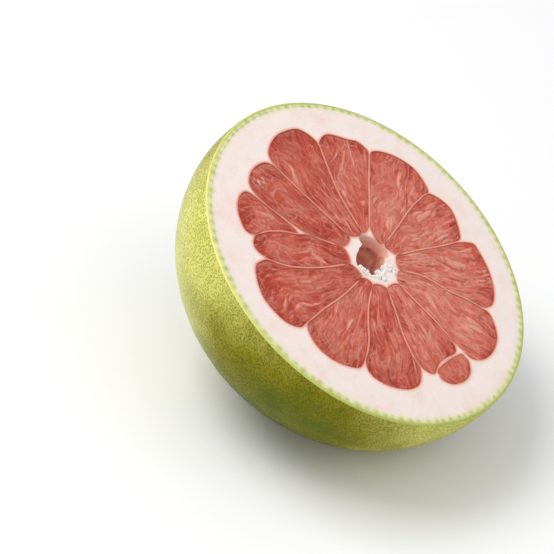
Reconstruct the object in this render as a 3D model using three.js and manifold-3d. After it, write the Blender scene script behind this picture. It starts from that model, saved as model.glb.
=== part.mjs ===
import * as THREE from 'three';
import { mergeVertices } from 'three/addons/utils/BufferGeometryUtils.js';
import Module from 'manifold-3d';

// Half of a pomelo, cut across its middle, leaning back on a small flat spot of its rind.
// Millimetres, +Z up. Every piece is drawn in the frame of the cut, where the cut face is
// the plane Z = 0 and the core is the Z axis, and is then leaned over and set down.

// Driving dimensions of the fruit
const RIM_RADIUS = 80;
const BELLY_BELOW_CUT = 9.8;
const BELLY_DEPTH = 65.5;
const SKIN_THICKNESS = 2.3;
const FACE_LEAN = THREE.MathUtils.degToRad(22.6);

// Below the cut the fruit drifts a little to one side, fully so from this depth on
const BODY_DRIFT = new THREE.Vector2(0.6, 1.15);
const DRIFT_DEPTH = 24;

// The rest spot: how deep the rind is pressed in, and how softly the spot rounds into the rind
const REST_PRESS = 3.3;
const PRESS_ROUNDING = 1.5;
const PRESS_REMAINDER = 0.02;
const FLOOR_SKIM = 0.4;

// Pulp, membranes and the hollow core
const PULP_DEPTH = 54;
const PULP_POLE_DEPTH = 58;
const MEMBRANE_THICKNESS = 1;
const CORE_DEPTH = 27;
const VESICLE_CREST = 0.5;
const VESICLE_VALLEY = -0.35;

// Clearance between pieces that touch, and how far a cutting solid reaches past the face
const CONTACT_GAP = 0.3;
const CUT_OVERRUN = 2;
const GROUND_BLOCK_HEIGHT = 20;

// Fineness of the faceted surfaces
const RIND_SIDES = 54;
const RIND_RINGS = 11;
const WEDGE_POINTS = 24;
const MEMBRANE_STEP = 6;
const CORE_POINTS = 20;
const POLE_TO_RIM_STEPS = 90;
const WELD_DISTANCE = 1e-4;

// The least opening of a corner, as a share of a straight one, at which an inset keeps its distance
const SHARPEST_CORNER = 0.5;

// Membranes on the cut face, from the core outwards, as [degrees, radius] from the core
const MEMBRANE = {
  ab: [[8.6, 12.7], [11.4, 29], [12.6, 44], [11.4, 56.4]],
  bc: [[43.4, 16.5], [42.7, 31.5], [42.8, 43.6], [42.4, 54]],
  cd: [[60, 12.8], [71, 32], [70, 46.4], [69, 57]],
  de: [[96.7, 12.6], [100.7, 34], [101.1, 44.4], [101, 56]],
  ef: [[131.7, 13.7], [133.4, 23], [133.6, 32.5], [128.4, 44.2], [125.2, 53.3]],
  fg: [[136.3, 36.2], [138.1, 43.6], [141.1, 51.7], [144.7, 58]],
  gh: [[167.8, 12.4], [164.5, 27.9], [162.4, 37.5], [160.1, 46.3], [156, 55]],
  hi: [[203, 12.6], [193.5, 30], [189.6, 44.2], [188.8, 56.4]],
  ij: [[227, 13.4], [219.7, 25], [220, 35], [220.7, 45.7], [219, 55]],
  jk: [[256, 15], [250.2, 26.9], [247.5, 38.3], [248.3, 48.8], [249.6, 53]],
  km: [[283.4, 15.8], [281.6, 29.3], [280.8, 40.5], [278.9, 50.4]],
  lm: [[279.2, 55.5], [279.5, 60]],
  mn: [[311.9, 14.6], [316.7, 27.2], [311.6, 39.8], [311.3, 48.5], [309.9, 57.7]],
  na: [[341.4, 15], [344.2, 29.8], [344.1, 43.7], [344.7, 54]],
};

// Segments of pulp, anticlockwise on the cut face: the membrane on each side, and the
// outer wall between them. A tip is given where a segment reaches further in than they do,
// and a depth where it ends above the others.
const SEGMENTS = [
  { from: MEMBRANE.na, wall: [[346.1, 57], [0, 63.3], [9.9, 59.5]], to: MEMBRANE.ab },
  {
    from: MEMBRANE.ab,
    wall: [[11, 59.7], [21, 65.3], [32.6, 64.4], [41.2, 60.2]],
    to: MEMBRANE.bc,
    tip: [28, 12.4],
  },
  {
    from: MEMBRANE.bc,
    wall: [[43, 59.7], [48, 62.9], [52.5, 62.6], [63, 63.2], [68.7, 58.5]],
    to: MEMBRANE.cd,
  },
  {
    from: MEMBRANE.cd,
    wall: [[70.3, 60.4], [75.6, 66.2], [83.5, 66.8], [90, 65.8], [97.4, 62.4], [99.9, 59.4]],
    to: MEMBRANE.de,
  },
  {
    from: MEMBRANE.de,
    wall: [[103.2, 59.6], [108, 61.9], [113.7, 62.7], [119.4, 61.5], [122.2, 58.7]],
    to: MEMBRANE.ef,
  },
  {
    from: MEMBRANE.ef.slice(3),
    wall: [[124.1, 61.8], [127.4, 64.4], [133.3, 65.2], [139.6, 63.8], [143.4, 61.9]],
    to: MEMBRANE.fg,
  },
  {
    from: [...MEMBRANE.ef.slice(0, 3), ...MEMBRANE.fg],
    wall: [[149.5, 59.6], [152.6, 58.4]],
    to: MEMBRANE.gh,
  },
  {
    from: MEMBRANE.gh,
    wall: [[157.4, 59.6], [158.8, 62.2], [165, 65.2], [172, 67], [178, 66.4], [183.7, 64.8], [188, 60.8]],
    to: MEMBRANE.hi,
  },
  {
    from: MEMBRANE.hi,
    wall: [[192.6, 60], [197.9, 62.5], [204.7, 63.2], [211.8, 61.7], [216.8, 59.3]],
    to: MEMBRANE.ij,
  },
  {
    from: MEMBRANE.ij,
    wall: [[221.5, 60.1], [227.6, 62.9], [234, 63.6], [240.2, 63.1], [244.9, 60.8], [247.9, 56.7]],
    to: MEMBRANE.jk,
  },
  {
    from: MEMBRANE.jk,
    wall: [[253.2, 56.4], [255.7, 57], [258.3, 55.4], [262, 53.4], [268, 52.8], [275.5, 53.2]],
    to: MEMBRANE.km,
  },
  {
    from: [[257.6, 56.4], [257.2, 60]],
    wall: [[261, 63.6], [267.6, 65.1], [273.8, 63.6]],
    to: [[278, 56], [277.9, 59.6]],
    tip: [268, 54.2],
    depth: 20,
  },
  {
    from: [...MEMBRANE.km, ...MEMBRANE.lm],
    wall: [[282, 62.8], [286.6, 65.5], [293.3, 66.9], [299.9, 66.4], [306.4, 63.2], [308.9, 60.8]],
    to: MEMBRANE.mn,
  },
  {
    from: MEMBRANE.mn,
    wall: [[311.2, 60.2], [313.8, 63.1], [319.8, 65.1], [329.6, 65.4], [338.9, 64.1], [342.3, 63.1]],
    to: MEMBRANE.na,
  },
];

// Mouth of the hollow core on the cut face, as [degrees, radius]
const CORE_MOUTH = [
  [0, 9.3], [30, 9.2], [60, 8], [90, 6.6], [120, 6.2], [150, 7.6],
  [178, 9.4], [205, 9.2], [230, 8.8], [255, 8.2], [285, 7.4], [315, 7.4], [340, 8.6],
];

// Layers down the pulp and down the core, as shares of their depth
const PULP_LAYERS = [1, 0.87, 0.6, 0.28];
const CORE_LAYERS = [[0.94, 0.4], [0.78, 0.62], [0.45, 0.86]];

// Rings over the top of a pulp segment, as shares of the way from its crown to its edge
const PULP_TOP_RINGS = [0.84, 0.58, 0.28];
const PULP_CROWN_SHARE = 0.3;

// Bare materials
const SKIN_GREEN = new THREE.MeshStandardMaterial({ color: 0x9db33c, roughness: 0.5, metalness: 0 });
const PITH_WHITE = new THREE.MeshStandardMaterial({ color: 0xf3e8e2, roughness: 0.85, metalness: 0 });
const PULP_CORAL = new THREE.MeshStandardMaterial({ color: 0xc9604c, roughness: 0.35, metalness: 0 });

const wasm = await Module();
wasm.setup();

// The widest radius, from the rim's own radius and how far the belly lies below the cut
const BELLY_RADIUS = RIM_RADIUS / Math.sqrt(1 - (BELLY_BELOW_CUT / BELLY_DEPTH) ** 2);

// Sideways drift of the fruit at a depth below the cut
function driftAt(depth) {
  return BODY_DRIFT.clone().multiplyScalar(Math.tanh(depth / DRIFT_DEPTH));
}

// A point of the rind, or of a layer that lies inset under it, from the rim to the pole
function layerPoint(inset, angle, share) {
  const side = BELLY_RADIUS - inset;
  const depth = BELLY_DEPTH - inset;
  const start = -Math.asin(BELLY_BELOW_CUT / depth);
  const slope = start + share * (Math.PI / 2 - start);
  const below = BELLY_BELOW_CUT + depth * Math.sin(slope);
  const drift = driftAt(below);
  const radius = side * Math.cos(slope);
  return new THREE.Vector3(radius * Math.cos(angle) + drift.x, radius * Math.sin(angle) + drift.y, -below);
}

// A closed ring of such points
function layerRing(inset, share) {
  const ring = [];
  for (let i = 0; i < RIND_SIDES; i += 1) {
    ring.push(layerPoint(inset, (2 * Math.PI * i) / RIND_SIDES, share));
  }
  return ring;
}

// The rings of one layer, from just above the pole up to the rim
function layerRings(inset) {
  const rings = [];
  for (let k = RIND_RINGS - 1; k >= 0; k -= 1) {
    rings.push(layerRing(inset, k / RIND_RINGS));
  }
  return rings;
}

// A point drawn in the cut's frame, leaned over
function leaned(point) {
  return point.clone().applyAxisAngle(new THREE.Vector3(1, 0, 0), FACE_LEAN);
}

// Height of the lowest point of the leaned rind
function lowestPoint() {
  let lowest = Infinity;
  for (let k = 0; k <= POLE_TO_RIM_STEPS; k += 1) {
    const front = leaned(layerPoint(0, -Math.PI / 2, k / POLE_TO_RIM_STEPS));
    const back = leaned(layerPoint(0, Math.PI / 2, k / POLE_TO_RIM_STEPS));
    lowest = Math.min(lowest, front.z, back.z);
  }
  return lowest;
}

const GROUND = lowestPoint() + REST_PRESS;

// Height above the ground after the rind is pressed flat there, with a rounded change
function pressedHeight(height) {
  if (height >= PRESS_ROUNDING) {
    return height;
  }
  if (height <= -PRESS_ROUNDING) {
    return PRESS_REMAINDER * (height + PRESS_ROUNDING);
  }
  return (height + PRESS_ROUNDING) ** 2 / (4 * PRESS_ROUNDING);
}

// A point leaned over and set down. A layer inside the rind is pressed to its own height.
function setDown(point, layerHeight) {
  const placed = leaned(point);
  const height = pressedHeight(placed.z - GROUND - layerHeight);
  return new THREE.Vector3(placed.x, placed.y, height + layerHeight - FLOOR_SKIM);
}

// A point leaned over and set down with the rest, deep inside, where nothing is pressed
function setInside(point) {
  const placed = leaned(point);
  return new THREE.Vector3(placed.x, placed.y, placed.z - GROUND - FLOOR_SKIM);
}

// A closed solid through a stack of rings that have the same number of points, closed by a
// point at each end. The rings run anticlockwise as seen from the last point.
function stackedSolid(firstPoint, rings, lastPoint) {
  const count = rings[0].length;
  const points = [firstPoint, ...rings.flat(), lastPoint];
  const index = [];
  for (let i = 0; i < count; i += 1) {
    const next = (i + 1) % count;
    index.push(0, 1 + next, 1 + i);
    for (let k = 0; k + 1 < rings.length; k += 1) {
      const low = 1 + k * count;
      const high = low + count;
      index.push(low + i, low + next, high + next);
      index.push(low + i, high + next, high + i);
    }
    const top = 1 + (rings.length - 1) * count;
    index.push(top + i, top + next, points.length - 1);
  }
  const geometry = new THREE.BufferGeometry().setFromPoints(points);
  geometry.setIndex(index);
  return geometry;
}

// A geometry as a solid that can be cut
function toSolid(geometry) {
  const bare = geometry.clone();
  bare.deleteAttribute('normal');
  bare.deleteAttribute('uv');
  const merged = mergeVertices(bare, WELD_DISTANCE);
  const mesh = new wasm.Mesh({
    numProp: 3,
    vertProperties: new Float32Array(merged.attributes.position.array),
    triVerts: new Uint32Array(merged.index.array),
  });
  return new wasm.Manifold(mesh);
}

// A cut solid as a geometry
function toGeometry(solid) {
  const mesh = solid.getMesh();
  const geometry = new THREE.BufferGeometry();
  geometry.setAttribute('position', new THREE.BufferAttribute(new Float32Array(mesh.vertProperties), 3));
  geometry.setIndex(new THREE.BufferAttribute(new Uint32Array(mesh.triVerts), 1));
  return geometry;
}

// A point of the cut face from its angle in degrees and its radius
function facePoint([degrees, radius]) {
  const angle = THREE.MathUtils.degToRad(degrees);
  return new THREE.Vector3(radius * Math.cos(angle), radius * Math.sin(angle), 0);
}

// A membrane's line, moved sideways by half its thickness to the segment on one side of it
function membraneFace(line, sign) {
  const curve = new THREE.CatmullRomCurve3(line.map(facePoint), false, 'centripetal');
  const points = curve.getSpacedPoints(Math.ceil(curve.getLength() / MEMBRANE_STEP));
  return points.map((point, i) => {
    const before = points[Math.max(i - 1, 0)];
    const after = points[Math.min(i + 1, points.length - 1)];
    const along = after.clone().sub(before).normalize();
    const across = new THREE.Vector3(-along.y, along.x, 0);
    return point.clone().addScaledVector(across, (sign * MEMBRANE_THICKNESS) / 2);
  });
}

// Outline of a segment on the cut face, anticlockwise, through evenly spaced points
function segmentOutline(segment) {
  const corners = [
    ...membraneFace(segment.from, 1),
    ...segment.wall.map(facePoint),
    ...membraneFace(segment.to, -1).reverse(),
  ];
  if (segment.tip) {
    corners.push(facePoint(segment.tip));
  }
  const curve = new THREE.CatmullRomCurve3(corners, true, 'centripetal');
  return curve.getSpacedPoints(WEDGE_POINTS).slice(0, WEDGE_POINTS);
}

// An outline moved inwards by an even distance, with sharp corners held back
function insetOutline(outline, distance) {
  return outline.map((point, i) => {
    const before = outline[(i + outline.length - 1) % outline.length];
    const after = outline[(i + 1) % outline.length];
    const first = point.clone().sub(before).normalize();
    const second = after.clone().sub(point).normalize();
    const inward = new THREE.Vector3(-first.y - second.y, first.x + second.x, 0);
    const reach = distance / Math.max(inward.lengthSq() / 2, SHARPEST_CORNER);
    return point.clone().addScaledVector(inward, reach);
  });
}

// How much narrower the body of pulp is at a depth than at the cut face
function pulpNarrowing(depth) {
  const reach = PULP_POLE_DEPTH - BELLY_BELOW_CUT;
  const atDepth = 1 - ((depth - BELLY_BELOW_CUT) / reach) ** 2;
  const atFace = 1 - (BELLY_BELOW_CUT / reach) ** 2;
  return Math.sqrt(atDepth / atFace);
}

// A segment's outline at a depth, with the membranes as thick there as at the cut face
function outlineAtDepth(outline, depth, clearance) {
  const narrowing = pulpNarrowing(depth);
  const thinning = Math.max(0, 1 - narrowing) * (MEMBRANE_THICKNESS / 2);
  const scaled = outline.map((point) => point.clone().multiplyScalar(narrowing));
  const drift = driftAt(depth);
  return insetOutline(scaled, thinning + clearance).map((point) => {
    return new THREE.Vector3(point.x + drift.x, point.y + drift.y, -depth);
  });
}

// The middle of an outline
function middleOf(ring) {
  const sum = new THREE.Vector3();
  ring.forEach((point) => sum.add(point));
  return sum.divideScalar(ring.length);
}

// The rings of a segment from its lowest layer up to just under the cut face
function segmentLayers(segment, outline, clearance) {
  const reach = (segment.depth ?? PULP_DEPTH) - clearance;
  return PULP_LAYERS.map((share) => outlineAtDepth(outline, share * reach, clearance));
}

// The crown of a segment's top, nearer its inner end than its middle, where its vesicles meet
function crownOf(outline) {
  const innermost = outline.reduce((best, point) => (point.length() < best.length() ? point : best));
  return innermost.clone().lerp(middleOf(outline), 2 * PULP_CROWN_SHARE);
}

// One body of pulp, with the low ridges of its cut vesicles fanning over its top
function pulpGeometry(segment) {
  const outline = segmentOutline(segment);
  const edge = insetOutline(outline, CONTACT_GAP);
  const layers = segmentLayers(segment, outline, CONTACT_GAP);
  const crown = crownOf(outline);
  const edgeRing = edge.map((point) => new THREE.Vector3(point.x, point.y, VESICLE_VALLEY));
  const topRings = PULP_TOP_RINGS.map((share) => {
    return edge.map((point, i) => {
      const ridge = i % 2 === 0 ? VESICLE_CREST : VESICLE_VALLEY;
      return crown.clone().lerp(point, share).setZ(ridge);
    });
  });
  const rings = [...layers, edgeRing, ...topRings].map((ring) => ring.map(setInside));
  return stackedSolid(middleOf(rings[0]), rings, setInside(crown));
}

// The cell that holds one body of pulp, a little past the cut face
function cellSolid(segment) {
  const outline = segmentOutline(segment);
  const layers = segmentLayers(segment, outline, 0);
  const mouth = outline.map((point) => new THREE.Vector3(point.x, point.y, CUT_OVERRUN));
  const rings = [...layers, outline, mouth].map((ring) => ring.map(setInside));
  return toSolid(stackedSolid(middleOf(rings[0]), rings, setInside(middleOf(mouth))));
}

// The hollow of the core, narrowing to a rounded end
function coreSolid() {
  const curve = new THREE.CatmullRomCurve3(CORE_MOUTH.map(facePoint), true, 'centripetal');
  const mouth = curve.getSpacedPoints(CORE_POINTS).slice(0, CORE_POINTS);
  const layers = CORE_LAYERS.map(([share, width]) => {
    const depth = share * CORE_DEPTH;
    return mouth.map((point) => new THREE.Vector3(point.x * width, point.y * width, -depth));
  });
  const brim = mouth.map((point) => new THREE.Vector3(point.x, point.y, CUT_OVERRUN));
  const rings = [...layers, mouth, brim].map((ring) => ring.map(setInside));
  const end = setInside(new THREE.Vector3(0, 0, -CORE_DEPTH));
  return toSolid(stackedSolid(end, rings, setInside(new THREE.Vector3(0, 0, CUT_OVERRUN))));
}

// A block just under the surface that the fruit rests on
function groundBlock() {
  const block = new THREE.BoxGeometry(2 * RIM_RADIUS, 2 * RIM_RADIUS, GROUND_BLOCK_HEIGHT);
  block.translate(0, 0, -GROUND_BLOCK_HEIGHT / 2);
  return toSolid(block);
}

// The green skin: a thin cup that follows the fruit, cut level where it rests
function skinGeometry() {
  const outer = layerRings(0).map((ring) => ring.map((point) => setDown(point, 0)));
  const inner = layerRings(SKIN_THICKNESS).reverse();
  const lining = inner.map((ring) => ring.map((point) => setDown(point, SKIN_THICKNESS)));
  const outerPole = setDown(layerPoint(0, 0, 1), 0);
  const innerPole = setDown(layerPoint(SKIN_THICKNESS, 0, 1), SKIN_THICKNESS);
  const cup = toSolid(stackedSolid(outerPole, [...outer, ...lining], innerPole));
  return toGeometry(cup.subtract(groundBlock()));
}

// The white pith with its membranes, around the cells of the pulp and the hollow core
function pithGeometry() {
  const inset = SKIN_THICKNESS + CONTACT_GAP;
  const rest = inset + CONTACT_GAP;
  const rings = layerRings(inset).map((ring) => ring.map((point) => setDown(point, rest)));
  const pole = setDown(layerPoint(inset, 0, 1), rest);
  let pith = toSolid(stackedSolid(pole, rings, setInside(new THREE.Vector3(0, 0, 0))));
  SEGMENTS.forEach((segment) => {
    pith = pith.subtract(cellSolid(segment));
  });
  return toGeometry(pith.subtract(coreSolid()));
}

// A named piece of the fruit
function piece(name, geometry, material) {
  const mesh = new THREE.Mesh(geometry, material);
  mesh.name = name;
  return mesh;
}

const pomelo = new THREE.Group();
pomelo.add(piece('rind_skin', skinGeometry(), SKIN_GREEN));
pomelo.add(piece('pith', pithGeometry(), PITH_WHITE));
SEGMENTS.forEach((segment, i) => {
  const number = String(i + 1).padStart(2, '0');
  pomelo.add(piece(`pulp_segment_${number}`, pulpGeometry(segment), PULP_CORAL));
});

// The origin lies on the surface, under the middle of the fruit
const box = new THREE.Box3().setFromObject(pomelo, true);
const middle = box.getCenter(new THREE.Vector3());
pomelo.position.set(-middle.x, -middle.y, 0);

export default pomelo;
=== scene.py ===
import math

import bmesh
import bpy
import numpy as np
from bpy.props import FloatProperty, FloatVectorProperty, PointerProperty
from bpy.types import Operator, Panel, PropertyGroup
from mathutils import Matrix, Vector


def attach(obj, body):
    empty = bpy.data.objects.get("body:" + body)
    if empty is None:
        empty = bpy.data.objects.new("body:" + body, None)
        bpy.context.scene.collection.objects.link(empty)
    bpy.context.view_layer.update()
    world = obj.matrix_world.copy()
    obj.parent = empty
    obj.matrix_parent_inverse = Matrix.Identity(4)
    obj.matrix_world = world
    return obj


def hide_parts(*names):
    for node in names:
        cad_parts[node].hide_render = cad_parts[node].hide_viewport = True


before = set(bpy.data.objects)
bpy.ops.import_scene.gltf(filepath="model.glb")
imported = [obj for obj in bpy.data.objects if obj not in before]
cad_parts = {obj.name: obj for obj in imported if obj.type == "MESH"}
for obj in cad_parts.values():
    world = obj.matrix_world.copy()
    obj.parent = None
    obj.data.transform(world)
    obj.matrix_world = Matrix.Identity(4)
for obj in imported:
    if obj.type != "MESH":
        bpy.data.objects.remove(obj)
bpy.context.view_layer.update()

bl_info = {
    "name": "Pomelo half",
    "version": (1, 0, 0),
    "blender": (4, 5, 0),
    "location": "View3D > Sidebar > Pomelo",
    "description": "Dresses a cut half of a pomelo: dimpled rind, pith, streaked pulp and torn core",
    "category": "Object",
}

MM = 0.001
ROOT = "root"

# The fruit's form, in millimetres, as its solids have it
FACE_LEAN = math.radians(22.6)
BELLY_BELOW_CUT = 9.8
BELLY_DEPTH = 65.5
BODY_DRIFT = np.array([0.6, 1.15])
DRIFT_DEPTH = 24.0
PRESS_ROUNDING = 1.5
PRESS_REMAINDER = 0.02
FLOOR_SKIM = 0.4
PULP_DEPTH = 54.0
PULP_POLE_DEPTH = 58.0
PULP_LAYERS = (0.05, 0.28, 0.6, 0.87, 1.0)
CORE_DEPTH = 27.0

# The core's taper, as (share of its depth, share of the mouth's radius)
CORE_LAYERS = ((0.0, 1.0), (0.2, 0.95), (0.45, 0.86), (0.78, 0.62), (0.94, 0.4), (1.0, 0.0))

# Membranes stay thinner here than the solids can have them
MEMBRANE_THICKNESS = 0.7

# Oil glands that the knife opened: how many stand in a row, and how far inside the rim
GLAND_ROW_COUNT = 112
GLAND_ROW_INSET = 1.8

# Membranes on the cut face, from the core outwards, as (degrees, radius) from the core
MEMBRANE = {
    "ab": ((8.6, 12.7), (11.4, 29), (12.6, 44), (11.4, 56.4)),
    "bc": ((43.4, 16.5), (42.7, 31.5), (42.8, 43.6), (42.4, 54)),
    "cd": ((60, 12.8), (71, 32), (70, 46.4), (69, 57)),
    "de": ((96.7, 12.6), (100.7, 34), (101.1, 44.4), (101, 56)),
    "ef": ((131.7, 13.7), (133.4, 23), (133.6, 32.5), (128.4, 44.2), (125.2, 53.3)),
    "fg": ((136.3, 36.2), (138.1, 43.6), (141.1, 51.7), (144.7, 58)),
    "gh": ((167.8, 12.4), (164.5, 27.9), (162.4, 37.5), (160.1, 46.3), (156, 55)),
    "hi": ((203, 12.6), (193.5, 30), (189.6, 44.2), (188.8, 56.4)),
    "ij": ((227, 13.4), (219.7, 25), (220, 35), (220.7, 45.7), (219, 55)),
    "jk": ((256, 15), (250.2, 26.9), (247.5, 38.3), (248.3, 48.8), (249.6, 53)),
    "km": ((283.4, 15.8), (281.6, 29.3), (280.8, 40.5), (278.9, 50.4)),
    "lm": ((279.2, 55.5), (279.5, 60)),
    "mn": ((311.9, 14.6), (316.7, 27.2), (311.6, 39.8), (311.3, 48.5), (309.9, 57.7)),
    "na": ((341.4, 15), (344.2, 29.8), (344.1, 43.7), (344.7, 54)),
}

# Segments of pulp, anticlockwise: the membrane before, the outer wall, the membrane after,
# and where it is needed a tip towards the core and a depth of its own. A fold is a line between
# two such points, and marks are (degrees, radius, reach, strength), pale above 0 and dark below.
SEGMENTS = (
    dict(start=MEMBRANE["na"], wall=((346.1, 57), (0, 63.3), (9.9, 59.5)), end=MEMBRANE["ab"]),
    dict(
        start=MEMBRANE["ab"],
        wall=((11, 59.7), (21, 65.3), (32.6, 64.4), (41.2, 60.2)),
        end=MEMBRANE["bc"],
        tip=(28, 12.4),
    ),
    dict(
        start=MEMBRANE["bc"],
        wall=((43, 59.7), (48, 62.9), (52.5, 62.6), (63, 63.2), (68.7, 58.5)),
        end=MEMBRANE["cd"],
        fold=((53, 62.6), (50, 40)),
    ),
    dict(
        start=MEMBRANE["cd"],
        wall=((70.3, 60.4), (75.6, 66.2), (83.5, 66.8), (90, 65.8), (97.4, 62.4), (99.9, 59.4)),
        end=MEMBRANE["de"],
    ),
    dict(
        start=MEMBRANE["de"],
        wall=((103.2, 59.6), (108, 61.9), (113.7, 62.7), (119.4, 61.5), (122.2, 58.7)),
        end=MEMBRANE["ef"],
        # Painted highlight: a pale mark at the segment's outer end stands for wet shine there
        marks=((114, 58, 3.2, 0.8),),
    ),
    dict(
        start=MEMBRANE["ef"][3:],
        wall=((124.1, 61.8), (127.4, 64.4), (133.3, 65.2), (139.6, 63.8), (143.4, 61.9)),
        end=MEMBRANE["fg"],
        marks=((133, 59, 3.6, -0.8), (135, 52, 4.0, 0.35)),
    ),
    dict(
        start=MEMBRANE["ef"][:3] + MEMBRANE["fg"],
        wall=((149.5, 59.6), (152.6, 58.4)),
        end=MEMBRANE["gh"],
    ),
    dict(
        start=MEMBRANE["gh"],
        wall=((157.4, 59.6), (158.8, 62.2), (165, 65.2), (172, 67), (178, 66.4), (183.7, 64.8), (188, 60.8)),
        end=MEMBRANE["hi"],
    ),
    dict(
        start=MEMBRANE["hi"],
        wall=((192.6, 60), (197.9, 62.5), (204.7, 63.2), (211.8, 61.7), (216.8, 59.3)),
        end=MEMBRANE["ij"],
        marks=((199.6, 58.5, 3.2, -1.0),),
    ),
    dict(
        start=MEMBRANE["ij"],
        wall=((221.5, 60.1), (227.6, 62.9), (234, 63.6), (240.2, 63.1), (244.9, 60.8), (247.9, 56.7)),
        end=MEMBRANE["jk"],
    ),
    dict(
        start=MEMBRANE["jk"],
        wall=((253.2, 56.4), (255.7, 57), (258.3, 55.4), (262, 53.4), (268, 52.8), (275.5, 53.2)),
        end=MEMBRANE["km"],
    ),
    dict(
        start=((257.6, 56.4), (257.2, 60)),
        wall=((261, 63.6), (267.6, 65.1), (273.8, 63.6)),
        end=((278, 56), (277.9, 59.6)),
        tip=(268, 54.2),
        depth=20.0,
    ),
    dict(
        start=MEMBRANE["km"] + MEMBRANE["lm"],
        wall=((282, 62.8), (286.6, 65.5), (293.3, 66.9), (299.9, 66.4), (306.4, 63.2), (308.9, 60.8)),
        end=MEMBRANE["mn"],
    ),
    dict(
        start=MEMBRANE["mn"],
        wall=((311.2, 60.2), (313.8, 63.1), (319.8, 65.1), (329.6, 65.4), (338.9, 64.1), (342.3, 63.1)),
        end=MEMBRANE["na"],
    ),
)

# Mouth of the hollow core, as (degrees, radius)
CORE_MOUTH = (
    (0, 9.3), (30, 9.2), (60, 8), (90, 6.6), (120, 6.2), (150, 7.6),
    (178, 9.4), (205, 9.2), (230, 8.8), (255, 8.2), (285, 7.4), (315, 7.4), (340, 8.6),
)

# The photograph's view: its size in pixels, where the middle of the cut face lies in it,
# the face's radius in pixels, and the camera's stand
PHOTO_PIXELS = 554
FACE_PIXEL = (370.5, 258.4)
FACE_RADIUS_PIXELS = 189.4
CAMERA_AZIMUTH = math.radians(-65.7)
CAMERA_ELEVATION = math.radians(34.1)
CAMERA_ROLL = math.radians(18.9)
CAMERA_DISTANCE = 0.960
SENSOR_WIDTH = 36.0


def linear(hex_colour):
    """An sRGB hex colour as a linear colour with alpha."""
    parts = [int(hex_colour[i:i + 2], 16) / 255 for i in (1, 3, 5)]
    return tuple(((c + 0.055) / 1.055) ** 2.4 if c > 0.04045 else c / 12.92 for c in parts) + (1.0,)


def length_property(name, description, metres):
    return FloatProperty(
        name=name, description=description, default=metres,
        unit="LENGTH", subtype="DISTANCE", precision=5,
    )


def colour_property(name, description, hex_colour):
    return FloatVectorProperty(
        name=name, description=description, subtype="COLOR", size=4,
        min=0.0, max=1.0, default=linear(hex_colour),
    )


class PomeloShape(PropertyGroup):
    rim_radius: length_property("Cut face radius", "Outer radius of the cut face", 0.080)
    skin_thickness: length_property("Skin thickness", "Thickness of the green outer skin", 0.0023)
    gland_cell: length_property(
        "Gland cell", "Size of a cell of the oil glands, whose pits lie a little wider", 0.00095,
    )
    sac_width: length_property("Juice sac width", "Width of a juice sac on the cut face", 0.0018)
    sac_length: length_property("Juice sac length", "Length of a juice sac on the cut face", 0.0095)


class PomeloColours(PropertyGroup):
    # Painted shade: this dark green ground also stands in for shade where the skin is least yellow, low on
    # the near side
    skin_green: colour_property("Skin green", "The greener ground of the skin", "#4a5e00")
    skin_yellow: colour_property("Skin yellow", "The riper ground of the skin", "#d2d06a")
    gland: colour_property("Gland", "The pit of an oil gland", "#535f08")
    cut_skin: colour_property("Cut skin", "The skin where the knife went through it", "#eeec94")
    pith: colour_property("Pith", "The spongy white pith", "#f4e5de")
    membrane: colour_property("Membrane", "The membranes between the segments", "#e89a84")
    pulp: colour_property("Pulp", "The body of the pulp", "#c24e35")
    pulp_deep: colour_property("Deep pulp", "The darkest juice sacs", "#9a2815")
    pulp_pale: colour_property("Pale pulp", "The skins of the juice sacs", "#e49e88")


# Repeatable noise


def hashed(x, y, z, seed):
    """A number from 0 to 1 for each whole-number lattice point."""
    h = (x * 73856093) ^ (y * 19349663) ^ (z * 83492791) ^ (seed * 40503 + 12345)
    h = ((h ^ (h >> 15)) & 0xFFFFFFFF) * 73244475
    h = ((h ^ (h >> 13)) & 0xFFFFFFFF) * 73244475
    return ((h ^ (h >> 16)) & 0xFFFFFF) / float(0x1000000)


def noise(points, seed):
    """Smooth noise from -1 to 1 at points in lattice units, of two or three columns."""
    if points.shape[1] == 2:
        points = np.column_stack([points, np.full(len(points), 0.5)])
    whole = np.floor(points).astype(np.int64)
    part = points - whole
    part = part * part * (3 - 2 * part)
    total = np.zeros(len(points))
    for corner in range(8):
        step = np.array([corner & 1, (corner >> 1) & 1, corner >> 2])
        weight = np.prod(np.where(step == 1, part, 1 - part), axis=1)
        at = whole + step
        total += weight * hashed(at[:, 0], at[:, 1], at[:, 2], seed)
    return 2 * total - 1


def cells(points, seed):
    """The nearest cell of a plane at each point: its border (0) to middle (1), its number and another."""
    whole = np.floor(points).astype(np.int64)
    near = np.full(len(points), 9.0)
    second = np.full(len(points), 9.0)
    number = np.zeros(len(points))
    other = np.zeros(len(points))
    for dx in (-1, 0, 1):
        for dy in (-1, 0, 1):
            x = whole[:, 0] + dx
            y = whole[:, 1] + dy
            to_x = x + hashed(x, y, 1, seed) - points[:, 0]
            to_y = y + hashed(x, y, 2, seed) - points[:, 1]
            distance = np.hypot(to_x, to_y)
            closer = distance < near
            second = np.where(closer, near, np.minimum(second, distance))
            near = np.where(closer, distance, near)
            number = np.where(closer, hashed(x, y, 3, seed), number)
            other = np.where(closer, hashed(x, y, 4, seed), other)
    return second - near, number, other


def ease(low, high, values):
    """A smooth step from 0 at low to 1 at high."""
    t = np.clip((values - low) / (high - low), 0, 1)
    return t * t * (3 - 2 * t)


def bell(values, middle, spread):
    """A smooth bump, 1 at its middle."""
    return np.exp(-((values - middle) / spread) ** 2)


# Outlines on the cut face


def face_points(polar):
    """Points of the cut face from (degrees, radius)."""
    polar = np.array(polar, dtype=float)
    angle = np.radians(polar[:, 0])
    return np.column_stack([polar[:, 1] * np.cos(angle), polar[:, 1] * np.sin(angle)])


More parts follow.
